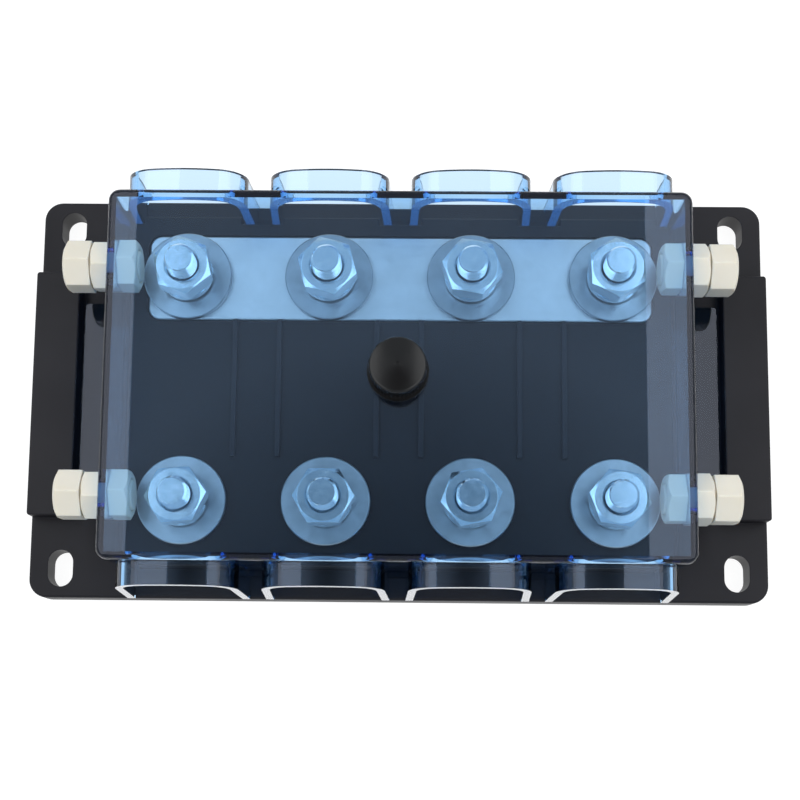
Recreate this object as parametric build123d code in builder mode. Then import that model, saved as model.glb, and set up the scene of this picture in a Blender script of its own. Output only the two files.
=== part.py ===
from build123d import *
import math
import os

# Bolt-down fuse box for four flat fuses, closed by a clear lift-off cover, in millimetres.
# Origin at the centre of the mounting face: +X along the box, +Y to the common supply side, +Z up.

# Terminal studs: two rows of four
ways = 4
stud_pitch = 38.1
row_spacing = 61.0
stud_d = 8.0
stud_tip_chamfer = 0.45
stud_head_af = 13.0
stud_head_h = 5.3
stud_above_nut = 5.0

# Nuts and washers on the studs
nut_af = 14.0
nut_h = 6.5
nut_face_d = 13.3
hex_chamfer_angle = 30.0
nut_bore_chamfer = 0.7
thread_play = 0.02
washer_outer_d = 23.6
washer_play = 0.4
washer_t = 1.9
washer_edge = 0.25
spring_outer_d = 14.4
spring_t = 2.0
spring_rise = 1.2
spring_gap_angle = 14.0
supply_nut_angles = (41.0, 45.0, 50.0, 33.0)
fused_nut_angles = (5.0, 0.0, 10.0, 50.0)
supply_spring_angles = (215.0, 255.0, 100.0, 300.0)
fused_spring_angles = (35.0, 190.0, 280.0, 235.0)

# Busbar joining the supply studs
busbar_overhang = 10.65
busbar_width = 23.3
busbar_t = 3.0
busbar_corner_r = 3.3
busbar_edge = 0.4
busbar_hole_play = 0.5
busbar_play = 0.3

# Base: flange past the cover, raised deck, end bands and mounting slots
flange_end_reach = 24.6
flange_side_reach = 7.4
flange_t = 7.5
base_corner_r = 5.0
flange_edge_r = 0.8
slot_width = 6.8
slot_length = 10.0
slot_end_inset = 8.5
slot_side_inset = 8.0
band_width = 12.1
band_inset = 21.8
band_h = 5.2
band_corner_r = 0.8
band_edge_r = 0.5
deck_h = 10.0
deck_corner_r = 1.5
deck_edge_r = 0.4
deck_play = 0.5
tongue_play = 0.4
tongue_inset = 0.6

# Ribs that part the fuse bays, and the centre pillar with its insert
rib_width = 1.3
rib_pair_spacing = 11.9
rib_h = 1.2
pillar_d = 10.0
pillar_gap = 0.3
insert_wall = 0.75
insert_length = 10.0
insert_chamfer = 0.4
insert_play = 0.02

# Underside of the base: head pockets and cores
head_seat_z = 7.0
head_pocket_play = 0.15
stud_hole_play = 0.1
core_floor = 3.5
core_wall = 3.0
core_corner_r = 1.5
core_columns = 8
core_rows = 2
band_core_wall = 2.5
band_core_count = 4
screw_hole_runout = 1.0

# Cover box, set out from the studs and the busbar that it closes in
cover_end_room = 7.6
cover_side_room = 17.7
roof_room = 1.4
cover_wall = 2.0
cover_corner_r = 3.0
cover_edge_r = 1.6
foot_bead = 1.4
foot_bead_h = 2.0
ledge_play = 1.2
ledge_inset = 5.0
ledge_t = 2.8
ledge_corner_r = 1.0

# Cable hoods on the cover
hood_gather = 0.6
hood_gap = 6.5
hood_drop = 2.0
hood_rise = 2.4
hood_wall = 2.0
hood_shoulder_r = 8.5
hood_draft_angle = 2.5

# Nylon plug bolts through the end walls of the cover
plug_d = 8.0
plug_hole_play = 0.2
plug_af = 12.0
plug_face_d = 10.8
plug_drop = 8.9
plug_head_h = 7.0
plug_outer_nut_h = 5.5
plug_inner_nut_h = 5.0
plug_end_stub = 0.4
plug_end_chamfer = 0.5
plug_bore_chamfer = 0.5
plug_head_angle = 30.0
plug_outer_nut_angle = 20.0
plug_inner_nut_angle = 28.0

# Knob that clamps the cover to the pillar
knob_d = 14.6
knob_rim_d = 15.7
knob_rim_h = 1.0
knob_h = 8.0
knob_top_r = 0.9
knob_dome_rise = 0.8
knob_dimple_d = 1.2
knob_dimple_depth = 0.3
knurl_count = 44
knurl_side = 0.62
knob_screw_d = 5.0
knob_screw_play = 0.05
knob_screw_in_knob = 5.0
knob_screw_reach = 10.5
knob_screw_chamfer = 0.5
cover_screw_hole_play = 0.4

# Levels above the mounting face
deck_z = flange_t + deck_h
washer_top = deck_z + washer_t
nut_seat_z = washer_top + spring_t + spring_rise
nut_top = nut_seat_z + nut_h
stud_tip_z = nut_top + stud_above_nut
roof_z = stud_tip_z + roof_room
cover_top = roof_z + cover_wall
cover_h = cover_top - flange_t
pillar_top = roof_z - pillar_gap
plug_z = roof_z - plug_drop

# Sizes that follow from the studs
washer_bore_d = stud_d + washer_play
busbar_hole_d = stud_d + busbar_hole_play
busbar_length = (ways - 1) * stud_pitch + 2 * busbar_overhang
hood_pitch = stud_pitch - hood_gather
hood_width = hood_pitch - hood_gap
hood_leg = cover_h - hood_drop - hood_rise
cover_length = busbar_length + 2 * cover_end_room
cover_depth = row_spacing + 2 * cover_side_room
base_length = cover_length + 2 * flange_end_reach
base_depth = cover_depth + 2 * flange_side_reach
slot_spacing_x = base_length - 2 * slot_end_inset
slot_spacing_y = base_depth - 2 * slot_side_inset
band_length = base_depth - 2 * band_inset
ledge_reach = flange_end_reach - band_width - ledge_play
ledge_width = row_spacing - 2 * ledge_inset
insert_bore_d = knob_screw_d + 2 * knob_screw_play
insert_outer_d = insert_bore_d + 2 * insert_wall

# Places shared by several pieces
stud_xs = [(i - (ways - 1) / 2) * stud_pitch for i in range(ways)]
hood_xs = [(i - (ways - 1) / 2) * hood_pitch for i in range(ways)]
bay_xs = [(i - (ways - 2) / 2) * stud_pitch for i in range(ways - 1)]
supply_y = row_spacing / 2
fused_y = -row_spacing / 2
row_ys = (supply_y, fused_y)
inner_length = cover_length - 2 * cover_wall
inner_depth = cover_depth - 2 * cover_wall
deck_length = inner_length - 2 * deck_play
deck_depth = inner_depth - 2 * deck_play
seat_length = busbar_length + 2 * busbar_play
seat_width = busbar_width + 2 * busbar_play
rib_length = row_spacing - seat_width
tongue_width = hood_width - 2 * hood_wall - 2 * tongue_play
tongue_depth = cover_depth - 2 * tongue_inset
knob_screw_bottom = cover_top - cover_wall - knob_screw_reach
plug_x = cover_length / 2

# Sides that the hoods face, each plane with its local up along +Z
front_side = Plane((0, 0, 0), x_dir=(1, 0, 0), z_dir=(0, -1, 0))
back_side = Plane((0, 0, 0), x_dir=(-1, 0, 0), z_dir=(0, 1, 0))


def side_view(seat):
    """Plane through the axis of a seat, its local x radial and its local y along the axis."""
    return Plane(seat.origin, x_dir=seat.x_dir, z_dir=-seat.y_dir)


def hex_nut(seat, af, height, face_d, bore_d, bore_chamfer, turn, square_seat=False):
    """Hexagon nut standing on a seat plane, its corners cut by a cone at its faces, or at its far face alone."""
    corner_r = af / (2 * math.cos(math.pi / 6))
    face_r = face_d / 2
    cone_h = (corner_r - face_r) * math.tan(math.radians(hex_chamfer_angle))
    bore_r = bore_d / 2
    mouth_r = bore_r + bore_chamfer
    seat_edge = [(corner_r, 0)] if square_seat else [(face_r, 0), (corner_r, cone_h)]
    with BuildPart() as nut:
        with BuildSketch(seat):
            RegularPolygon(radius=af / 2, side_count=6, major_radius=False, rotation=turn)
        extrude(amount=height)
        with BuildSketch(side_view(seat)):
            with BuildLine():
                Polyline(
                    (mouth_r, 0),
                    *seat_edge,
                    (corner_r, height - cone_h),
                    (face_r, height),
                    (mouth_r, height),
                    (bore_r, height - bore_chamfer),
                    (bore_r, bore_chamfer),
                    close=True,
                )
            make_face()
        revolve(axis=Axis(seat.origin, seat.z_dir), mode=Mode.INTERSECT)
    return nut.part


def hex_bolt(seat, af, head_h, face_d, shank_d, shank_length, end_chamfer, turn):
    """Hexagon bolt: the head lies behind the seat plane and the shank runs out of it."""
    corner_r = af / (2 * math.cos(math.pi / 6))
    face_r = face_d / 2
    shank_r = shank_d / 2
    cone_h = (corner_r - face_r) * math.tan(math.radians(hex_chamfer_angle))
    with BuildPart() as bolt:
        with BuildSketch(seat):
            RegularPolygon(radius=af / 2, side_count=6, major_radius=False, rotation=turn)
        extrude(amount=-head_h)
        with BuildSketch(side_view(seat)):
            with BuildLine():
                Polyline(
                    (0, 0),
                    (corner_r, 0),
                    (corner_r, cone_h - head_h),
                    (face_r, -head_h),
                    (0, -head_h),
                    close=True,
                )
            make_face()
        revolve(axis=Axis(seat.origin, seat.z_dir), mode=Mode.INTERSECT)
        with BuildSketch(side_view(seat)):
            with BuildLine():
                Polyline(
                    (0, 0),
                    (shank_r, 0),
                    (shank_r, shank_length - end_chamfer),
                    (shank_r - end_chamfer, shank_length),
                    (0, shank_length),
                    close=True,
                )
            make_face()
        revolve(axis=Axis(seat.origin, seat.z_dir))
    return bolt.part


def flat_washer(seat):
    """Large flat washer with eased rims, lying on a seat plane."""
    with BuildPart() as washer:
        with BuildSketch(seat):
            Circle(washer_outer_d / 2)
            Circle(washer_bore_d / 2, mode=Mode.SUBTRACT)
        extrude(amount=washer_t)
        chamfer(washer.edges().filter_by(GeomType.CIRCLE), length=washer_edge)
    return washer.part


def spring_washer(seat, turn):
    """Split spring washer: one square-section coil that climbs from its low end to its high end."""
    ring_r = (spring_outer_d + washer_bore_d) / 4
    ring_w = (spring_outer_d - washer_bore_d) / 2
    share = (360.0 - spring_gap_angle) / 360.0
    base = seat.offset(spring_t / 2).rotated((0, 0, turn))
    with BuildPart() as ring:
        with BuildLine(base):
            coil = Helix(pitch=spring_rise / share, height=spring_rise, radius=ring_r)
        with BuildSketch(Plane(coil @ 0, x_dir=coil @ 0 - base.origin, z_dir=coil % 0)):
            Rectangle(ring_w, spring_t)
        sweep(path=coil, is_frenet=True)
    return ring.part


def arch_face(inset):
    """Arched face of a cable hood, drawn in from its outside by an inset, with eased shoulders."""
    outer_half = hood_width / 2
    arc_r = (outer_half**2 + hood_rise**2) / (2 * hood_rise)
    centre_z = flange_t + hood_leg + hood_rise - arc_r
    half = outer_half - inset
    shoulder_z = centre_z + math.sqrt((arc_r - inset) ** 2 - half**2)
    crown_z = centre_z + arc_r - inset
    foot = half + (shoulder_z - flange_t) * math.tan(math.radians(hood_draft_angle))
    with BuildSketch() as arch:
        with BuildLine():
            Polyline((-half, shoulder_z), (-foot, flange_t), (foot, flange_t), (half, shoulder_z))
            ThreePointArc((half, shoulder_z), (0, crown_z), (-half, shoulder_z))
        make_face()
        fillet(arch.vertices().filter_by_position(Axis.Y, shoulder_z - 1, shoulder_z + 1), hood_shoulder_r - inset)
    return arch.sketch


def save(piece, name):
    """Label one finished piece and write it to its own file."""
    piece.label = name
    export_step(piece, "parts/" + name + ".step")


os.makedirs("parts", exist_ok=True)

# Base, one black moulding: flange with end bands, raised deck, ribs and centre pillar
core_depth = deck_z - busbar_t - core_floor
pocket_across = (stud_head_af + 2 * head_pocket_play) / math.cos(math.pi / 6)
row_core_x = stud_pitch - pocket_across - 2 * core_wall
row_core_y = pocket_across + core_wall
field_x = deck_length - core_wall
field_y = row_spacing - row_core_y - core_wall
cell_pitch_x = field_x / core_columns
cell_pitch_y = field_y / core_rows
band_cell_pitch = (band_length - band_core_wall) / band_core_count
band_x = (base_length - band_width) / 2

with BuildPart() as base:
    with BuildSketch():
        RectangleRounded(base_length, base_depth, base_corner_r)
    extrude(amount=flange_t)
    fillet(base.faces().sort_by(Axis.Z)[-1].edges(), flange_edge_r)
    with BuildSketch():
        with Locations((band_x, 0), (-band_x, 0)):
            RectangleRounded(band_width, band_length, band_corner_r)
    extrude(amount=flange_t + band_h)
    fillet(base.faces().filter_by(Plane.XY).group_by(Axis.Z)[-1].edges(), band_edge_r)
    with BuildSketch():
        RectangleRounded(deck_length, deck_depth, deck_corner_r)
        with Locations([(x, 0) for x in hood_xs]):
            Rectangle(tongue_width, tongue_depth)
    extrude(amount=deck_z)
    fillet(base.faces().filter_by(Plane.XY).group_by(Axis.Z)[-1].edges(), deck_edge_r)
    with BuildSketch(Plane.XY.offset(deck_z)):
        for x in bay_xs:
            with Locations((x - rib_pair_spacing / 2, 0), (x + rib_pair_spacing / 2, 0)):
                Rectangle(rib_width, rib_length)
    extrude(amount=rib_h)
    with BuildSketch(Plane.XY.offset(deck_z)):
        Circle(pillar_d / 2)
    extrude(amount=pillar_top - deck_z)
    with BuildSketch(Plane.XY.offset(deck_z)):
        with Locations((0, supply_y)):
            RectangleRounded(seat_length, seat_width, busbar_corner_r + busbar_play)
    extrude(amount=-busbar_t, mode=Mode.SUBTRACT)
    with BuildSketch():
        with Locations([(x, y) for x in stud_xs for y in row_ys]):
            Circle(stud_d / 2 + stud_hole_play)
    extrude(amount=deck_z, mode=Mode.SUBTRACT)
    with BuildSketch():
        with Locations([(x, y) for x in stud_xs for y in row_ys]):
            RegularPolygon(stud_head_af / 2 + head_pocket_play, side_count=6, major_radius=False)
    extrude(amount=head_seat_z, mode=Mode.SUBTRACT)
    with BuildSketch():
        with Locations([(x, y) for x in bay_xs for y in row_ys]):
            RectangleRounded(row_core_x, row_core_y, core_corner_r)
        with GridLocations(cell_pitch_x, cell_pitch_y, core_columns, core_rows):
            RectangleRounded(cell_pitch_x - core_wall, cell_pitch_y - core_wall, core_corner_r)
    extrude(amount=core_depth, mode=Mode.SUBTRACT)
    with BuildSketch():
        with GridLocations(2 * band_x, band_cell_pitch, 2, band_core_count):
            RectangleRounded(band_width - 2 * band_core_wall, band_cell_pitch - band_core_wall, core_corner_r)
    extrude(amount=flange_t + band_h - band_core_wall, mode=Mode.SUBTRACT)
    with BuildSketch():
        with GridLocations(slot_spacing_x, slot_spacing_y, 2, 2):
            SlotOverall(slot_length, slot_width, rotation=90)
    extrude(amount=flange_t, mode=Mode.SUBTRACT)
    with BuildSketch(Plane.XY.offset(pillar_top)):
        Circle(insert_outer_d / 2 + insert_play)
    extrude(amount=-insert_length, mode=Mode.SUBTRACT)
    with BuildSketch(Plane.XY.offset(pillar_top)):
        Circle(knob_screw_d / 2 + cover_screw_hole_play)
    extrude(amount=knob_screw_bottom - screw_hole_runout - pillar_top, mode=Mode.SUBTRACT)
save(base.part, "base")

# Brass insert moulded into the top of the pillar
with BuildPart() as insert:
    with BuildSketch(Plane.XY.offset(pillar_top - insert_length)):
        Circle(insert_outer_d / 2)
        Circle(insert_bore_d / 2, mode=Mode.SUBTRACT)
    extrude(amount=insert_length)
    chamfer(insert.faces().sort_by(Axis.Z)[-1].edges().sort_by(SortBy.LENGTH)[0], insert_chamfer)
save(insert.part, "pillar_insert")

# Plated busbar lying flush in the deck under the supply studs
with BuildPart() as busbar:
    with BuildSketch(Plane.XY.offset(deck_z - busbar_t)):
        with Locations((0, supply_y)):
            RectangleRounded(busbar_length, busbar_width, busbar_corner_r)
        with Locations([(x, supply_y) for x in stud_xs]):
            Circle(busbar_hole_d / 2, mode=Mode.SUBTRACT)
    extrude(amount=busbar_t)
    chamfer(busbar.faces().sort_by(Axis.Z)[-1].outer_wire().edges(), busbar_edge)
save(busbar.part, "busbar")

# Steel studs pushed up through the base, each with its washers and nut
rows = (
    ("supply", supply_y, supply_nut_angles, supply_spring_angles),
    ("fused", fused_y, fused_nut_angles, fused_spring_angles),
)
for row, y, nut_angles, spring_angles in rows:
    for i, x in enumerate(stud_xs):
        place = row + "_" + str(i + 1)
        stud = hex_bolt(
            Plane((x, y, head_seat_z)),
            stud_head_af,
            stud_head_h,
            stud_head_af,
            stud_d,
            stud_tip_z - head_seat_z,
            stud_tip_chamfer,
            0.0,
        )
        save(stud, place + "_stud")
        save(flat_washer(Plane((x, y, deck_z))), place + "_flat_washer")
        save(spring_washer(Plane((x, y, washer_top)), spring_angles[i]), place + "_spring_washer")
        nut = hex_nut(
            Plane((x, y, nut_seat_z)),
            nut_af,
            nut_h,
            nut_face_d,
            stud_d + 2 * thread_play,
            nut_bore_chamfer,
            nut_angles[i],
        )
        save(nut, place + "_nut")

# Clear cover, one moulding: box, cable hoods over every stud, end ledges
hood_root = inner_depth / 2
hood_end = base_depth / 2
hood_h = hood_leg + hood_rise
rake_back = hood_h * math.tan(math.radians(hood_draft_angle))
hood_top_z = flange_t + hood_h
outer_arch = arch_face(0.0)
inner_arch = arch_face(hood_wall)

with BuildPart() as cover:
    with BuildSketch(Plane.XY.offset(flange_t)):
        RectangleRounded(cover_length, cover_depth, cover_corner_r)
    extrude(amount=cover_h)
    fillet(cover.faces().sort_by(Axis.Z)[-1].edges(), cover_edge_r)
    with BuildSketch(Plane.XY.offset(flange_t)):
        RectangleRounded(cover_length - 2 * cover_corner_r, cover_depth + 2 * foot_bead, foot_bead / 2)
    extrude(amount=foot_bead_h)
    with BuildSketch(Plane.XY.offset(flange_t)):
        RectangleRounded(cover_length + 2 * ledge_reach, ledge_width, ledge_corner_r)
    extrude(amount=ledge_t)
    for side in (front_side, back_side):
        with BuildSketch(side.offset(hood_root)):
            with Locations([(x, 0) for x in hood_xs]):
                add(outer_arch)
        extrude(amount=hood_end - hood_root)
    with BuildSketch(Plane.XY.offset(flange_t)):
        Rectangle(inner_length, inner_depth)
    extrude(amount=cover_h - cover_wall, mode=Mode.SUBTRACT)
    for side in (front_side, back_side):
        with BuildSketch(side.offset(hood_root - deck_play)):
            with Locations([(x, 0) for x in hood_xs]):
                add(inner_arch)
        extrude(amount=hood_end - hood_root + deck_play, mode=Mode.SUBTRACT)
    with BuildSketch(Plane.YZ):
        with BuildLine():
            Polyline(
                (hood_end, flange_t),
                (hood_end - rake_back, hood_top_z),
                (hood_end, hood_top_z),
                close=True,
            )
        make_face()
        mirror(about=Plane.YZ)
    extrude(amount=cover_length / 2, both=True, mode=Mode.SUBTRACT)
    with BuildSketch(Plane.YZ):
        with Locations([(y, plug_z) for y in row_ys]):
            Circle(plug_d / 2 + plug_hole_play)
    extrude(amount=cover_length / 2, both=True, mode=Mode.SUBTRACT)
    with BuildSketch(Plane.XY.offset(roof_z)):
        Circle(knob_screw_d / 2 + cover_screw_hole_play)
    extrude(amount=cover_wall, mode=Mode.SUBTRACT)
save(cover.part, "cover")

# Nylon plug bolts through the end walls, each held by a nut outside and a nut inside
plug_seat = plug_x + plug_outer_nut_h
plug_shank = plug_outer_nut_h + cover_wall + plug_inner_nut_h + plug_end_stub
plug_bore = plug_d + 2 * thread_play
for end, out in (("left", -1), ("right", 1)):
    for row, y in (("supply", supply_y), ("fused", fused_y)):
        place = end + "_" + row + "_plug"
        bolt = hex_bolt(
            Plane((out * plug_seat, y, plug_z), x_dir=(0, 1, 0), z_dir=(-out, 0, 0)),
            plug_af,
            plug_head_h,
            plug_face_d,
            plug_d,
            plug_shank,
            plug_end_chamfer,
            plug_head_angle,
        )
        save(bolt, place + "_bolt")
        outer_nut = hex_nut(
            Plane((out * plug_x, y, plug_z), x_dir=(0, 1, 0), z_dir=(out, 0, 0)),
            plug_af,
            plug_outer_nut_h,
            plug_face_d,
            plug_bore,
            plug_bore_chamfer,
            plug_outer_nut_angle,
            square_seat=True,
        )
        save(outer_nut, place + "_outer_nut")
        inner_nut = hex_nut(
            Plane((out * inner_length / 2, y, plug_z), x_dir=(0, 1, 0), z_dir=(-out, 0, 0)),
            plug_af,
            plug_inner_nut_h,
            plug_face_d,
            plug_bore,
            plug_bore_chamfer,
            plug_inner_nut_angle,
            square_seat=True,
        )
        save(inner_nut, place + "_inner_nut")

# Knurled black knob with a low dome, and a steel screw moulded into it
knob_edge_z = cover_top + knob_h - knob_dome_rise
knob_dome_r = ((knob_d / 2) ** 2 + knob_dome_rise**2) / (2 * knob_dome_rise)
with BuildPart() as knob:
    with BuildSketch(Plane.XZ):
        with BuildLine():
            Polyline(
                (0, cover_top + knob_h),
                (0, cover_top),
                (knob_rim_d / 2, cover_top),
                (knob_rim_d / 2, cover_top + knob_rim_h),
                (knob_d / 2, cover_top + knob_rim_h),
                (knob_d / 2, knob_edge_z),
            )
            RadiusArc((knob_d / 2, knob_edge_z), (0, cover_top + knob_h), -knob_dome_r)
        make_face()
    revolve(axis=Axis.Z)
    top_edge = knob.edges().filter_by_position(Axis.Z, knob_edge_z - knob_dome_rise / 2, knob_edge_z + knob_dome_rise / 2)
    fillet(top_edge, knob_top_r)
    with BuildSketch(Plane.XY.offset(cover_top + knob_rim_h)):
        with PolarLocations(knob_d / 2, knurl_count):
            Rectangle(knurl_side, knurl_side, rotation=45)
    extrude(amount=knob_edge_z - knob_top_r - cover_top - knob_rim_h, mode=Mode.SUBTRACT)
    with BuildSketch(Plane.XY.offset(cover_top + knob_h)):
        Circle(knob_dimple_d / 2)
    extrude(amount=-knob_dimple_depth, mode=Mode.SUBTRACT)
    with BuildSketch(Plane.XY.offset(cover_top)):
        Circle(knob_screw_d / 2 + thread_play)
    extrude(amount=knob_screw_in_knob, mode=Mode.SUBTRACT)
save(knob.part, "knob")

with BuildPart() as knob_screw:
    with BuildSketch(Plane.XY.offset(knob_screw_bottom)):
        Circle(knob_screw_d / 2)
    extrude(amount=cover_top + knob_screw_in_knob - knob_screw_bottom)
    chamfer(knob_screw.faces().sort_by(Axis.Z)[0].edges(), knob_screw_chamfer)
save(knob_screw.part, "knob_screw")
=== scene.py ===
import math

import bmesh
import bpy
from mathutils import Matrix, Vector


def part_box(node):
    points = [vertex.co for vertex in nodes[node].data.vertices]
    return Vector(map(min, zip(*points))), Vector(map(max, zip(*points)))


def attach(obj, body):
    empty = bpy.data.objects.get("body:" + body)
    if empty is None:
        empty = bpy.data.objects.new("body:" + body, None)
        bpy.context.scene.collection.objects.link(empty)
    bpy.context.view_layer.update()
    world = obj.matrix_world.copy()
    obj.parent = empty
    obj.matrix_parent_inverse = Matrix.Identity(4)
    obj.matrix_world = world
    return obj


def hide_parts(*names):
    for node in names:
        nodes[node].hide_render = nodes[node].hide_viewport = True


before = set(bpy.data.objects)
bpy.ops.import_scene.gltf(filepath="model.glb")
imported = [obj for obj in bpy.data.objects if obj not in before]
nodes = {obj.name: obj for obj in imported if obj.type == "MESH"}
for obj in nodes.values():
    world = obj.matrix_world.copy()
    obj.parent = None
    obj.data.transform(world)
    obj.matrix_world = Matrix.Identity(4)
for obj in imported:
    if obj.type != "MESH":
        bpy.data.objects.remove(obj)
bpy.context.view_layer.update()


# Base: one black moulding with a flange, two end bands, a deck, rib pairs and a centre pillar.
# The mould was spark eroded, so its skin has a fine grain, and every edge is slightly eased. Its eased edges
# and its rib tops are painted paler as painted highlights, and its broad cloudy patches add random tone.
# Two slots at each end take the screws that hold it to a panel.
MOULDING_DARK = (0.0080, 0.0068, 0.0088, 1)
MOULDING_PALE = (0.019, 0.017, 0.021, 1)
MOULDING_SKIN = {"Grain": 3200.0, "Depth": 0.0000015, "Edge": 0.0003, "Cloud Scale": 24.0}
MOULDING_ROUGH = 0.50
MOULDING_SMOOTH = 0.38
EDGE_HIGHLIGHT = 0.45
CLOUD_WEAR = 0.3
RIB_TOP_Z = 0.0186
RIB_TOP_FAR = 0.0003
RIB_TOP_NEAR = 0.0001
RIB_TOP_HIGHLIGHT = 0.5


def new_finish(name, settings):
    """Make a material with one Principled shader and set its plain sockets."""
    finish = bpy.data.materials.new(name)
    finish.use_nodes = True
    shader = finish.node_tree.nodes["Principled BSDF"]
    for socket, value in settings.items():
        shader.inputs[socket].default_value = value
    return finish, finish.node_tree, shader


def put(tree, kind, settings=None, **options):
    """Add a node to a tree, with its options and the values of its unlinked sockets."""
    node = tree.nodes.new(kind)
    for option, value in options.items():
        setattr(node, option, value)
    for socket, value in (settings or {}).items():
        node.inputs[socket].default_value = value
    return node


def join(tree, *pairs):
    """Link each pair of sockets, from an output to an input."""
    for out, into in pairs:
        tree.links.new(out, into)


def new_effect(name, inputs, outputs):
    """Make a shader node group with named inputs and outputs, and return its tree and its two ends."""
    effect = bpy.data.node_groups.new(name, "ShaderNodeTree")
    for label, kind, value in inputs:
        socket = effect.interface.new_socket(label, in_out="INPUT", socket_type=kind)
        socket.default_value = value
    for label, kind in outputs:
        effect.interface.new_socket(label, in_out="OUTPUT", socket_type=kind)
    return effect, put(effect, "NodeGroupInput"), put(effect, "NodeGroupOutput")


def use_effect(tree, effect, settings):
    """Place a node group in a material with its own values."""
    return put(tree, "ShaderNodeGroup", settings, node_tree=effect)


def finish_nodes(names, finish):
    """Give CAD nodes a finish in place of the plain colour they were packed with."""
    for name in names:
        for held in nodes[name].material_slots:
            held.material = finish


def tone(tree, factor, low, high):
    """Blend from one colour to another by a mask."""
    blend = put(tree, "ShaderNodeMix", data_type="RGBA")
    blend.inputs["A"].default_value = low
    blend.inputs["B"].default_value = high
    join(tree, (factor, blend.inputs["Factor"]))
    return blend.outputs["Result"]


def spread(tree, value, low, high, from_low=0.0, from_high=1.0):
    """Map a mask onto a range of values."""
    ends = {"From Min": from_low, "From Max": from_high, "To Min": low, "To Max": high}
    ranged = put(tree, "ShaderNodeMapRange", ends)
    join(tree, (value, ranged.inputs["Value"]))
    return ranged.outputs["Result"]


# Skin of a part: eased edges, a grain of its own scale and depth, and broad cloudy patches
skin, skin_in, skin_out = new_effect(
    "skin",
    [
        ("Grain", "NodeSocketFloat", 2600.0),
        ("Depth", "NodeSocketFloat", 0.00002),
        ("Edge", "NodeSocketFloat", 0.0002),
        ("Cloud Scale", "NodeSocketFloat", 30.0),
    ],
    [("Normal", "NodeSocketVector"), ("Edge", "NodeSocketFloat"), ("Cloud", "NodeSocketFloat"),
     ("Grain", "NodeSocketFloat")],
)
place = put(skin, "ShaderNodeTexCoord")
grain = put(skin, "ShaderNodeTexNoise", {"Detail": 3.0, "Roughness": 0.65})
cloud = put(skin, "ShaderNodeTexNoise", {"Detail": 4.0, "Roughness": 0.55})
eased = put(skin, "ShaderNodeBevel", samples=6)
surface = put(skin, "ShaderNodeNewGeometry")
facing = put(skin, "ShaderNodeVectorMath", operation="DOT_PRODUCT")
bump = put(skin, "ShaderNodeBump", {"Strength": 1.0})
join(
    skin,
    (place.outputs["Object"], grain.inputs["Vector"]),
    (place.outputs["Object"], cloud.inputs["Vector"]),
    (skin_in.outputs["Grain"], grain.inputs["Scale"]),
    (skin_in.outputs["Cloud Scale"], cloud.inputs["Scale"]),
    (skin_in.outputs["Edge"], eased.inputs["Radius"]),
    (eased.outputs["Normal"], facing.inputs[0]),
    (surface.outputs["Normal"], facing.inputs[1]),
    (skin_in.outputs["Depth"], bump.inputs["Distance"]),
    (grain.outputs["Fac"], bump.inputs["Height"]),
    (eased.outputs["Normal"], bump.inputs["Normal"]),
    (bump.outputs["Normal"], skin_out.inputs["Normal"]),
    (spread(skin, facing.outputs["Value"], 1.0, 0.0, 0.8, 0.995), skin_out.inputs["Edge"]),
    (cloud.outputs["Fac"], skin_out.inputs["Cloud"]),
    (grain.outputs["Fac"], skin_out.inputs["Grain"]),
)

black_moulding, tree, shader = new_finish("black_moulding", {"IOR": 1.5, "Specular IOR Level": 0.20})
moulded = use_effect(tree, skin, MOULDING_SKIN)
# Painted highlight: the eased edges are painted paler by the edge mask, and the cloudy patches add random
# tone.
edge_highlight_and_cloud = put(tree, "ShaderNodeMath", operation="MULTIPLY_ADD")
edge_highlight_and_cloud.inputs[1].default_value = EDGE_HIGHLIGHT
place = put(tree, "ShaderNodeTexCoord")
axes = put(tree, "ShaderNodeSeparateXYZ")
# Painted highlight: a thin band at the height of the rib tops is painted paler, and it is added to the edge
# highlight and the cloudy tone.
rib_top_highlight = put(tree, "ShaderNodeMath", operation="MULTIPLY")
highlights_and_cloud = put(tree, "ShaderNodeMath", operation="ADD")
join(
    tree,
    (place.outputs["Object"], axes.inputs["Vector"]),
    (spread(tree, axes.outputs["Z"], 0.0, RIB_TOP_HIGHLIGHT, RIB_TOP_Z - RIB_TOP_FAR, RIB_TOP_Z - RIB_TOP_NEAR),
     rib_top_highlight.inputs[0]),
    (spread(tree, axes.outputs["Z"], 1.0, 0.0, RIB_TOP_Z + RIB_TOP_NEAR, RIB_TOP_Z + RIB_TOP_FAR),
     rib_top_highlight.inputs[1]),
    (moulded.outputs["Edge"], edge_highlight_and_cloud.inputs[0]),
    (spread(tree, moulded.outputs["Cloud"], 0.0, CLOUD_WEAR, 0.35, 0.7), edge_highlight_and_cloud.inputs[2]),
    (edge_highlight_and_cloud.outputs["Value"], highlights_and_cloud.inputs[0]),
    (rib_top_highlight.outputs["Value"], highlights_and_cloud.inputs[1]),
    (tone(tree, highlights_and_cloud.outputs["Value"], MOULDING_DARK, MOULDING_PALE), shader.inputs["Base Color"]),
    (spread(tree, moulded.outputs["Cloud"], MOULDING_ROUGH, MOULDING_SMOOTH, 0.3, 0.7),
     shader.inputs["Roughness"]),
    (moulded.outputs["Normal"], shader.inputs["Normal"]),
)
finish_nodes(["base"], black_moulding)


# Pillar insert: a turned brass bush moulded into the top of the pillar.
# The knob's screw runs in its thread, so it is bright where the cover has been lifted off.
BRASS_DARK = (0.60, 0.40, 0.15, 1)
BRASS_PALE = (0.72, 0.50, 0.20, 1)
BRASS_SMOOTH = 0.22
BRASS_ROUGH = 0.36
BRASS_SKIN = {"Grain": 5000.0, "Depth": 0.000008, "Edge": 0.0001, "Cloud Scale": 300.0}

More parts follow.
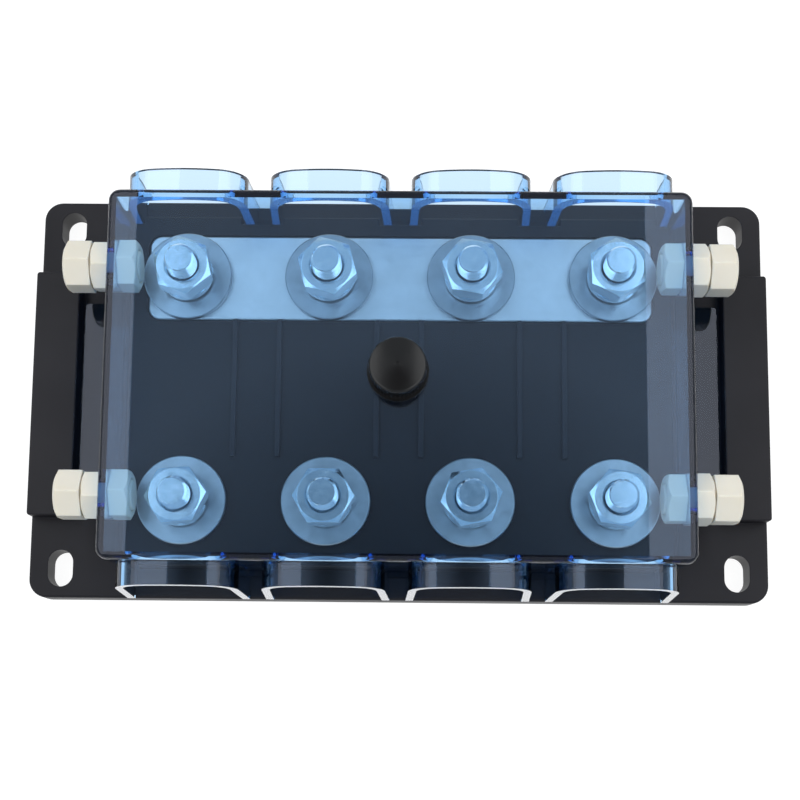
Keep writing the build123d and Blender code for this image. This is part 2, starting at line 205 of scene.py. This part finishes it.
turned_brass, tree, shader = new_finish("turned_brass", {"Metallic": 1.0})
turned = use_effect(tree, skin, BRASS_SKIN)
join(
    tree,
    (tone(tree, turned.outputs["Cloud"], BRASS_DARK, BRASS_PALE), shader.inputs["Base Color"]),
    (spread(tree, turned.outputs["Grain"], BRASS_SMOOTH, BRASS_ROUGH, 0.3, 0.7), shader.inputs["Roughness"]),
    (turned.outputs["Normal"], shader.inputs["Normal"]),
)
finish_nodes(["pillar_insert"], turned_brass)


# Busbar: a sheared and punched copper bar, tin plated, lying flush in the deck.
# Its plating shows the rolling grain of the bar along its length, with dull patches from handling.
TIN_DARK = (0.60, 0.62, 0.63, 1)
TIN_PALE = (0.69, 0.71, 0.73, 1)
TIN_SMOOTH = 0.34
TIN_ROUGH = 0.50
TIN_GRAIN = {"Grain": (70.0, 5000.0, 5000.0), "Depth": 0.000001, "Edge": 0.0003}
TIN_MARK_GLOSS = -0.08
HAIR_TURN = 0.6
HAIR_STRETCH = (90.0, 5200.0, 400.0)

# Plating over drawn or rolled metal: a grain that runs one way, and scattered hairline marks
plating, plating_in, plating_out = new_effect(
    "plating",
    [
        ("Grain", "NodeSocketVector", (2000.0, 2000.0, 2000.0)),
        ("Depth", "NodeSocketFloat", 0.000005),
        ("Edge", "NodeSocketFloat", 0.0002),
    ],
    [("Normal", "NodeSocketVector"), ("Grain", "NodeSocketFloat"), ("Cloud", "NodeSocketFloat"),
     ("Marks", "NodeSocketFloat"), ("Edge", "NodeSocketFloat")],
)
place = put(plating, "ShaderNodeTexCoord")
drawn = put(plating, "ShaderNodeVectorMath", operation="MULTIPLY")
streaks = put(plating, "ShaderNodeTexNoise", {"Scale": 1.0, "Detail": 4.0, "Roughness": 0.6})
cloud = put(plating, "ShaderNodeTexNoise", {"Scale": 160.0, "Detail": 5.0, "Roughness": 0.6})
laid = put(plating, "ShaderNodeMapping", {"Rotation": (0.0, 0.0, HAIR_TURN), "Scale": HAIR_STRETCH})
hairs = put(plating, "ShaderNodeTexNoise", {"Scale": 1.0, "Detail": 1.0})
eased = put(plating, "ShaderNodeBevel", samples=6)
surface = put(plating, "ShaderNodeNewGeometry")
facing = put(plating, "ShaderNodeVectorMath", operation="DOT_PRODUCT")
bump = put(plating, "ShaderNodeBump", {"Strength": 1.0})
join(
    plating,
    (place.outputs["Object"], drawn.inputs[0]),
    (plating_in.outputs["Grain"], drawn.inputs[1]),
    (drawn.outputs["Vector"], streaks.inputs["Vector"]),
    (place.outputs["Object"], cloud.inputs["Vector"]),
    (place.outputs["Object"], laid.inputs["Vector"]),
    (laid.outputs["Vector"], hairs.inputs["Vector"]),
    (plating_in.outputs["Edge"], eased.inputs["Radius"]),
    (eased.outputs["Normal"], facing.inputs[0]),
    (surface.outputs["Normal"], facing.inputs[1]),
    (eased.outputs["Normal"], bump.inputs["Normal"]),
    (plating_in.outputs["Depth"], bump.inputs["Distance"]),
    (streaks.outputs["Fac"], bump.inputs["Height"]),
    (bump.outputs["Normal"], plating_out.inputs["Normal"]),
    (streaks.outputs["Fac"], plating_out.inputs["Grain"]),
    (cloud.outputs["Fac"], plating_out.inputs["Cloud"]),
    (spread(plating, hairs.outputs["Fac"], 0.0, 1.0, 0.68, 0.74), plating_out.inputs["Marks"]),
    (spread(plating, facing.outputs["Value"], 1.0, 0.0, 0.8, 0.995), plating_out.inputs["Edge"]),
)

tin_plate, tree, shader = new_finish("tin_plate", {"Metallic": 1.0})
rolled = use_effect(tree, plating, TIN_GRAIN)
dulled = put(tree, "ShaderNodeMath", operation="MULTIPLY_ADD")
dulled.inputs[1].default_value = TIN_MARK_GLOSS
join(
    tree,
    (tone(tree, spread(tree, rolled.outputs["Cloud"], 0.2, 1.0, 0.3, 0.65), TIN_DARK, TIN_PALE),
     shader.inputs["Base Color"]),
    (rolled.outputs["Marks"], dulled.inputs[0]),
    (spread(tree, rolled.outputs["Grain"], TIN_SMOOTH, TIN_ROUGH, 0.3, 0.7), dulled.inputs[2]),
    (dulled.outputs["Value"], shader.inputs["Roughness"]),
    (rolled.outputs["Normal"], shader.inputs["Normal"]),
)
finish_nodes(["busbar"], tin_plate)


# Studs: eight M8 steel bolts pushed up through the base, their hexagon heads held from turning in pockets
# of its underside. They are cold headed with a rolled thread of 1.25 mm pitch, then bright zinc plated.
STUD_R = 0.0040
STUD_ROOT_R = 0.00332
THREAD_PITCH = 0.00125
THREAD_STEPS = 40
THREAD_MERGE = 0.000002
THREAD_CUT_REACH = 0.0000005
STUD_TIP_CHAMFER = 0.00062
HEAD_ACROSS = 0.0130
HEAD_H = 0.0053
HEAD_FACE_R = 0.0062
HEAD_FACE_SHARE = 0.6
HEAD_CONE_SLOPE = 0.577
HEAD_STEPS = 72
SHANK_STEPS = 48
THREAD_START_Z = 0.0175
SHARP_ANGLE = 40
ZINC_DARK = (0.70, 0.80, 0.88, 1)
ZINC_PALE = (0.79, 0.88, 0.94, 1)
ZINC_SMOOTH = 0.15
ZINC_ROUGH = 0.23
ZINC_GRAIN = {"Grain": (500.0, 500.0, 500.0), "Depth": 0.000001, "Edge": 0.00006}
ZINC_MARK_DULLING = 0.06


def new_zinc(name, dark, pale, smooth, rough):
    """Zinc plating between two tones and two levels of gloss, with the hairline marks of handling."""
    finish, tree, shader = new_finish(name, {"Metallic": 1.0})
    plated = use_effect(tree, plating, ZINC_GRAIN)
    marked = put(tree, "ShaderNodeMath", operation="MULTIPLY_ADD")
    marked.inputs[1].default_value = ZINC_MARK_DULLING
    join(
        tree,
        (tone(tree, spread(tree, plated.outputs["Cloud"], 0.0, 1.0, 0.35, 0.65), dark, pale),
         shader.inputs["Base Color"]),
        (plated.outputs["Marks"], marked.inputs[0]),
        (spread(tree, plated.outputs["Grain"], smooth, rough, 0.3, 0.7), marked.inputs[2]),
        (marked.outputs["Value"], shader.inputs["Roughness"]),
        (plated.outputs["Normal"], shader.inputs["Normal"]),
    )
    return finish


zinc_plate = new_zinc("zinc_plate", ZINC_DARK, ZINC_PALE, ZINC_SMOOTH, ZINC_ROUGH)


def hexagon_r(angle, across):
    """Distance from a hexagon's centre to its side in one direction."""
    return across / 2 / math.cos((angle + math.pi / 6) % (math.pi / 3) - math.pi / 6)


def cut_ring(work, level, radius):
    """Draw every point above a level in to a cone that narrows to a radius there at 45 degrees."""
    for point in work.verts:
        reach = math.hypot(point.co.x, point.co.y)
        allowed = radius + max(level - point.co.z, 0.0)
        if reach > allowed:
            point.co.x *= allowed / reach
            point.co.y *= allowed / reach


def rolled_thread(work, low, high, crest_r, root_r, pitch, tip_chamfer):
    """Turn one tooth of a thread into a helix between two levels, close both ends and chamfer the top."""
    teeth = math.ceil((high - low) / pitch) + 2
    start = low - pitch
    outline = ((root_r, 0.0), (root_r, 0.25), (crest_r, 0.5625), (crest_r, 0.6875), (root_r, 1.0))
    tooth = [work.verts.new((r, 0.0, start + share * pitch)) for r, share in outline]
    sides = [work.edges.new(pair) for pair in zip(tooth, tooth[1:])]
    bmesh.ops.spin(
        work, geom=tooth + sides, cent=(0, 0, 0), axis=(0, 0, 1), dvec=(0, 0, pitch / THREAD_STEPS),
        angle=teeth * 2 * math.pi, steps=teeth * THREAD_STEPS, use_merge=False, use_duplicate=False,
    )
    bmesh.ops.remove_doubles(work, verts=work.verts, dist=THREAD_MERGE)
    for level in (low, high - tip_chamfer, high - tip_chamfer / 2, high):
        bmesh.ops.bisect_plane(
            work, geom=work.verts[:] + work.edges[:] + work.faces[:], dist=THREAD_CUT_REACH,
            plane_co=(0, 0, level), plane_no=(0, 0, 1), clear_inner=level == low, clear_outer=level == high,
        )
    cut_ring(work, high, crest_r - tip_chamfer)
    rims = [edge for edge in work.edges if edge.is_boundary]
    bmesh.ops.holes_fill(work, edges=rims, sides=0)
    bmesh.ops.triangulate(work, faces=[face for face in work.faces if len(face.verts) > 4])


def hexagon_head(work, low, high, across, face_r):
    """Grow a hexagon head ring by ring, its lower corners cut back by a cone, and close both faces."""
    def cut_back(angle):
        return max(hexagon_r(angle, across) - face_r, 0.0) * HEAD_CONE_SLOPE

    rings = (
        lambda angle: (face_r * HEAD_FACE_SHARE, low),
        lambda angle: (face_r, low),
        lambda angle: (hexagon_r(angle, across), low + cut_back(angle)),
        lambda angle: (hexagon_r(angle, across), high),
    )
    points = bmesh.ops.create_circle(work, cap_ends=True, segments=HEAD_STEPS, radius=face_r)["verts"]
    for count, ring in enumerate(rings):
        if count:
            rim = [edge for edge in work.edges if edge.is_boundary]
            grown = bmesh.ops.extrude_edge_only(work, edges=rim)["geom"]
            points = [item for item in grown if isinstance(item, bmesh.types.BMVert)]
        for point in points:
            angle = math.atan2(point.co.y, point.co.x)
            reach, level = ring(angle)
            point.co = (reach * math.cos(angle), reach * math.sin(angle), level)
    bmesh.ops.holes_fill(work, edges=[edge for edge in work.edges if edge.is_boundary], sides=0)


def new_piece(name, work, finish):
    """Turn finished mesh work into an object with its finish and its normals outwards."""
    bmesh.ops.recalc_face_normals(work, faces=work.faces)
    mesh = bpy.data.meshes.new(name)
    work.to_mesh(mesh)
    work.free()
    mesh.materials.append(finish)
    mesh.shade_smooth()
    mesh.set_sharp_from_angle(angle=math.radians(SHARP_ANGLE))
    piece = bpy.data.objects.new(name, mesh)
    bpy.context.scene.collection.objects.link(piece)
    return piece


def joined(*parts):
    """Gather several pieces of mesh work into one."""
    whole = bmesh.new()
    for part in parts:
        held = bpy.data.meshes.new("held")
        part.to_mesh(held)
        part.free()
        whole.from_mesh(held)
        bpy.data.meshes.remove(held)
    return whole


stud_nodes = sorted(name for name in nodes if name.endswith("_stud"))
stud_low, stud_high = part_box("supply_1_stud")
head_seat = stud_low.z + HEAD_H
threaded = bmesh.new()
rolled_thread(threaded, THREAD_START_Z, stud_high.z, STUD_R, STUD_ROOT_R, THREAD_PITCH, STUD_TIP_CHAMFER)
shank = bmesh.new()
bmesh.ops.create_cone(
    shank, cap_ends=True, segments=SHANK_STEPS, radius1=STUD_R, radius2=STUD_R,
    depth=THREAD_START_Z - head_seat, matrix=Matrix.Translation((0, 0, (THREAD_START_Z + head_seat) / 2)),
)
head = bmesh.new()
hexagon_head(head, stud_low.z, head_seat, HEAD_ACROSS, HEAD_FACE_R)
whole = joined(threaded, shank, head)
for name in stud_nodes:
    low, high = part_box(name)
    middle = (low + high) / 2
    work = whole.copy()
    bmesh.ops.translate(work, verts=work.verts, vec=(middle.x, middle.y, 0))
    stud = new_piece("threaded_" + name, work, zinc_plate)
    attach(stud, "base_body")
    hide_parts(name)


# Washers and nuts on the studs: a large stamped flat washer, a split spring washer and a hexagon nut.
# All are zinc plated steel, the flat washers barrel plated and duller. The nuts are run down by hand.
BARREL_DARK = (0.38, 0.41, 0.44, 1)
BARREL_PALE = (0.46, 0.50, 0.54, 1)
BARREL_SMOOTH = 0.30
BARREL_ROUGH = 0.40

dull_zinc = new_zinc("dull_zinc", BARREL_DARK, BARREL_PALE, BARREL_SMOOTH, BARREL_ROUGH)
finish_nodes([name for name in nodes if name.endswith("_flat_washer")], dull_zinc)
finish_nodes([name for name in nodes if name.endswith("_spring_washer")], zinc_plate)
finish_nodes([name for name in nodes if name.endswith("_nut") and "plug" not in name], zinc_plate)


# Cover: one clear blue moulding with a polished skin, a cable hood over every stud and a ledge at each end.
# Its colour lies in the plastic, so a wall seen edge on is far deeper than one seen through its thickness.
# The cut rims of the hoods are matt and show nearly white.
COVER_TINT = (0.18, 0.60, 0.90, 1)
COVER_DEPTH_PER_M = 300.0
COVER_SHEEN = (0.82, 0.86, 1.0, 1)
RIM_Y = 0.0541
RIM_FADE = 0.0003
RIM_ROUGHNESS = 0.20
RIM_COAT_IOR = 1.8
RIM_COAT_ROUGHNESS = 0.25

clear_blue, tree, shader = new_finish(
    "clear_blue",
    {"Base Color": (1, 1, 1, 1), "Transmission Weight": 1.0, "IOR": 1.49, "Specular Tint": COVER_SHEEN,
     "Coat IOR": RIM_COAT_IOR, "Coat Roughness": RIM_COAT_ROUGHNESS},
)
place = put(tree, "ShaderNodeTexCoord")
axes = put(tree, "ShaderNodeSeparateXYZ")
away = put(tree, "ShaderNodeMath", operation="ABSOLUTE")
surface = put(tree, "ShaderNodeNewGeometry")
faces = put(tree, "ShaderNodeSeparateXYZ")
facing = put(tree, "ShaderNodeMath", operation="ABSOLUTE")
frosted = put(tree, "ShaderNodeMath", operation="MULTIPLY")
join(
    tree,
    (place.outputs["Object"], axes.inputs["Vector"]),
    (axes.outputs["Y"], away.inputs[0]),
    (surface.outputs["Normal"], faces.inputs["Vector"]),
    (faces.outputs["Y"], facing.inputs[0]),
    (spread(tree, away.outputs["Value"], 0.0, 1.0, RIM_Y - RIM_FADE, RIM_Y), frosted.inputs[0]),
    (spread(tree, facing.outputs["Value"], 0.0, 1.0, 0.8, 0.9), frosted.inputs[1]),
    (spread(tree, frosted.outputs["Value"], 0.0, RIM_ROUGHNESS), shader.inputs["Roughness"]),
    (frosted.outputs["Value"], shader.inputs["Coat Weight"]),
)
inside = put(tree, "ShaderNodeVolumeAbsorption", {"Color": COVER_TINT, "Density": COVER_DEPTH_PER_M})
let_by = put(tree, "ShaderNodeBsdfTransparent")
seen = put(tree, "ShaderNodeLightPath")
lit = put(tree, "ShaderNodeMath", operation="MAXIMUM")
passed = put(tree, "ShaderNodeMixShader")
join(
    tree,
    (seen.outputs["Is Shadow Ray"], lit.inputs[0]),
    (seen.outputs["Is Diffuse Ray"], lit.inputs[1]),
    (lit.outputs["Value"], passed.inputs["Fac"]),
    (shader.outputs["BSDF"], passed.inputs[1]),
    (let_by.outputs["BSDF"], passed.inputs[2]),
    (passed.outputs["Shader"], tree.nodes["Material Output"].inputs["Surface"]),
    (inside.outputs["Volume"], tree.nodes["Material Output"].inputs["Volume"]),
)
finish_nodes(["cover"], clear_blue)


# Plug bolts: a natural nylon bolt through each end wall beside each row, with a nut outside and a nut inside.
# Moulded nylon is waxy and lets some light into it, so its edges glow.
NYLON_PALE = (0.79, 0.73, 0.63, 1)
NYLON_DEEP = (0.69, 0.62, 0.50, 1)
NYLON_SKIN = {"Grain": 1200.0, "Depth": 0.00002, "Edge": 0.0005, "Cloud Scale": 90.0}
NYLON_GLOW_REACH = 0.0015
NYLON_SMOOTH = 0.34
NYLON_ROUGH = 0.46

natural_nylon, tree, shader = new_finish(
    "natural_nylon",
    {"IOR": 1.53, "Subsurface Weight": 0.55, "Subsurface Scale": NYLON_GLOW_REACH,
     "Subsurface Radius": (1.0, 0.9, 0.7)},
)
waxy = use_effect(tree, skin, NYLON_SKIN)
join(
    tree,
    (tone(tree, waxy.outputs["Cloud"], NYLON_DEEP, NYLON_PALE), shader.inputs["Base Color"]),
    (spread(tree, waxy.outputs["Grain"], NYLON_SMOOTH, NYLON_ROUGH, 0.3, 0.7), shader.inputs["Roughness"]),
    (waxy.outputs["Normal"], shader.inputs["Normal"]),
)
finish_nodes([name for name in nodes if "plug" in name], natural_nylon)


# Knob: a black moulding with a straight knurl and a rim, and a low dome on top.
# The dome was turned in the mould, so it catches the lamps in two fans to either side.
KNOB_DARK = (0.005, 0.0042, 0.0042, 1)
KNOB_EDGE_HIGHLIGHT = (0.013, 0.0115, 0.0115, 1)
KNOB_SMOOTH = 0.16
KNOB_ROUGH = 0.24
KNOB_SKIN = {"Grain": 3000.0, "Depth": 0.00001, "Edge": 0.00012, "Cloud Scale": 120.0}

satin_black, tree, shader = new_finish(
    "satin_black", {"IOR": 1.5, "Specular IOR Level": 0.34, "Anisotropic": 0.5, "Anisotropic Rotation": 0.25}
)
turned = use_effect(tree, skin, KNOB_SKIN)
around = put(tree, "ShaderNodeTangent", direction_type="RADIAL", axis="Z")
join(
    tree,
    # Painted highlight: the knob's edges are painted paler than its faces by the edge mask.
    (tone(tree, turned.outputs["Edge"], KNOB_DARK, KNOB_EDGE_HIGHLIGHT), shader.inputs["Base Color"]),
    (spread(tree, turned.outputs["Cloud"], KNOB_SMOOTH, KNOB_ROUGH, 0.3, 0.7), shader.inputs["Roughness"]),
    (turned.outputs["Normal"], shader.inputs["Normal"]),
    (around.outputs["Tangent"], shader.inputs["Tangent"]),
)
finish_nodes(["knob"], satin_black)


# Knob screw: an M5 screw of zinc plated steel, with a rolled thread of 0.8 mm pitch.
# Its head end is moulded into the knob, and the rest reaches down through the cover into the brass insert.
SCREW_R = 0.0025
SCREW_ROOT_R = 0.00205
SCREW_PITCH = 0.0008
SCREW_TIP_CHAMFER = 0.0005

screw_low, screw_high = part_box("knob_screw")
work = bmesh.new()
rolled_thread(work, 0.0, screw_high.z - screw_low.z, SCREW_R, SCREW_ROOT_R, SCREW_PITCH, SCREW_TIP_CHAMFER)
bmesh.ops.rotate(work, verts=work.verts, cent=(0, 0, 0), matrix=Matrix.Rotation(math.pi, 3, "X"))
bmesh.ops.translate(work, verts=work.verts, vec=(0, 0, screw_high.z))
screw = new_piece("threaded_knob_screw", work, zinc_plate)
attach(screw, "knob_body")
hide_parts("knob_screw")


# Table: a seamless white sheet that the box stands on. It shows white wherever the camera, a reflection
# or the clear cover looks at it, and keeps the soft shadow of the box.
SHEET_HALF = 4.0
SHEET_GLOW = 0.93
SHEET_COLOUR = (0.22, 0.22, 0.218, 1)
SHEET_GAP = 0.0002

work = bmesh.new()
bmesh.ops.create_grid(work, x_segments=8, y_segments=8, size=SHEET_HALF)
bmesh.ops.translate(work, verts=work.verts, vec=(0, 0, -SHEET_GAP))
sheet_finish, tree, shader = new_finish(
    "white_sheet", {"Roughness": 0.9, "Specular IOR Level": 0.0, "Base Color": SHEET_COLOUR}
)
glow = put(tree, "ShaderNodeEmission", {"Color": (1, 1, 1, 1)})
seen = put(tree, "ShaderNodeLightPath")
either = put(tree, "ShaderNodeMath", operation="MAXIMUM")
any_of = put(tree, "ShaderNodeMath", operation="MAXIMUM")
strength = put(tree, "ShaderNodeMath", operation="MULTIPLY")
strength.inputs[1].default_value = SHEET_GLOW
both = put(tree, "ShaderNodeAddShader")
join(
    tree,
    (seen.outputs["Is Camera Ray"], either.inputs[0]),
    (seen.outputs["Is Glossy Ray"], either.inputs[1]),
    (either.outputs["Value"], any_of.inputs[0]),
    (seen.outputs["Is Transmission Ray"], any_of.inputs[1]),
    (any_of.outputs["Value"], strength.inputs[0]),
    (strength.outputs["Value"], glow.inputs["Strength"]),
    (shader.outputs["BSDF"], both.inputs[0]),
    (glow.outputs["Emission"], both.inputs[1]),
    (both.outputs["Shader"], tree.nodes["Material Output"].inputs["Surface"]),
)
sheet = new_piece("white_sheet", work, sheet_finish)


# Lamps: two soft boxes overhead, left and right of the camera, and pale, slightly blue walls all round.
# The ceiling between the boxes, where the camera hangs, stays dark and shows in the flat roof of the cover.
SOFT_BOX_X = {"left_soft_box": -0.53, "right_soft_box": 0.50}
SOFT_BOX_Y = 0.10
SOFT_BOX_Z = 0.60
SOFT_BOX_WIDTH = 0.68
SOFT_BOX_LENGTH = 1.0
SOFT_BOX_WATTS = 3.6
WALL_LIGHT = 0.72
CAMERA_SHADE = 0.05
WALL_COLOUR = (0.82, 0.92, 1.0, 1)
WALL_TOP_SLOPE = 0.962
CAMERA_SHADE_SLOPE = 0.997

for name, x in SOFT_BOX_X.items():
    lamp = bpy.data.lights.new(name, "AREA")
    lamp.shape = "RECTANGLE"
    lamp.size = SOFT_BOX_WIDTH
    lamp.size_y = SOFT_BOX_LENGTH
    lamp.energy = SOFT_BOX_WATTS
    box = bpy.data.objects.new(name, lamp)
    box.location = (x, SOFT_BOX_Y, SOFT_BOX_Z)
    bpy.context.scene.collection.objects.link(box)

world = bpy.data.worlds.new("pale_room")
bpy.context.scene.world = world
world.use_nodes = True
tree = world.node_tree
room = tree.nodes["Background"]
toward = put(tree, "ShaderNodeTexCoord")
axes = put(tree, "ShaderNodeSeparateXYZ")
seen = put(tree, "ShaderNodeLightPath")
shown = put(tree, "ShaderNodeMix", data_type="FLOAT")
shown.inputs["B"].default_value = 1.0
join(
    tree,
    (toward.outputs["Generated"], axes.inputs["Vector"]),
    (spread(tree, axes.outputs["Z"], WALL_LIGHT, CAMERA_SHADE, WALL_TOP_SLOPE, CAMERA_SHADE_SLOPE),
     shown.inputs["A"]),
    (seen.outputs["Is Camera Ray"], shown.inputs["Factor"]),
    (shown.outputs["Result"], room.inputs["Strength"]),
    (tone(tree, seen.outputs["Is Camera Ray"], WALL_COLOUR, (1, 1, 1, 1)), room.inputs["Color"]),
)


# Camera: above the box and a little in front of it, looking almost straight down.
# Its place, direction and lens were worked out from the box's own studs, washers, slots and edges.
CAMERA_PLACE = (0.00513, -0.084851, 0.372321)
CAMERA_RIGHT = (0.999886, 0.009965, -0.011312)
CAMERA_AHEAD = (-0.012491, 0.127564, -0.991752)
CAMERA_LENS = 61.018
CAMERA_SHIFT_Y = 0.1694

ahead = Vector(CAMERA_AHEAD).normalized()
right = Vector(CAMERA_RIGHT)
right = (right - ahead * right.dot(ahead)).normalized()
upward = right.cross(ahead)
view = bpy.data.cameras.new("camera")
view.lens = CAMERA_LENS
view.shift_y = CAMERA_SHIFT_Y
camera = bpy.data.objects.new("camera", view)
camera.matrix_world = Matrix.Translation(CAMERA_PLACE) @ Matrix((right, upward, -ahead)).transposed().to_4x4()
bpy.context.scene.collection.objects.link(camera)
bpy.context.scene.camera = camera
bpy.context.scene.view_settings.view_transform = "Standard"
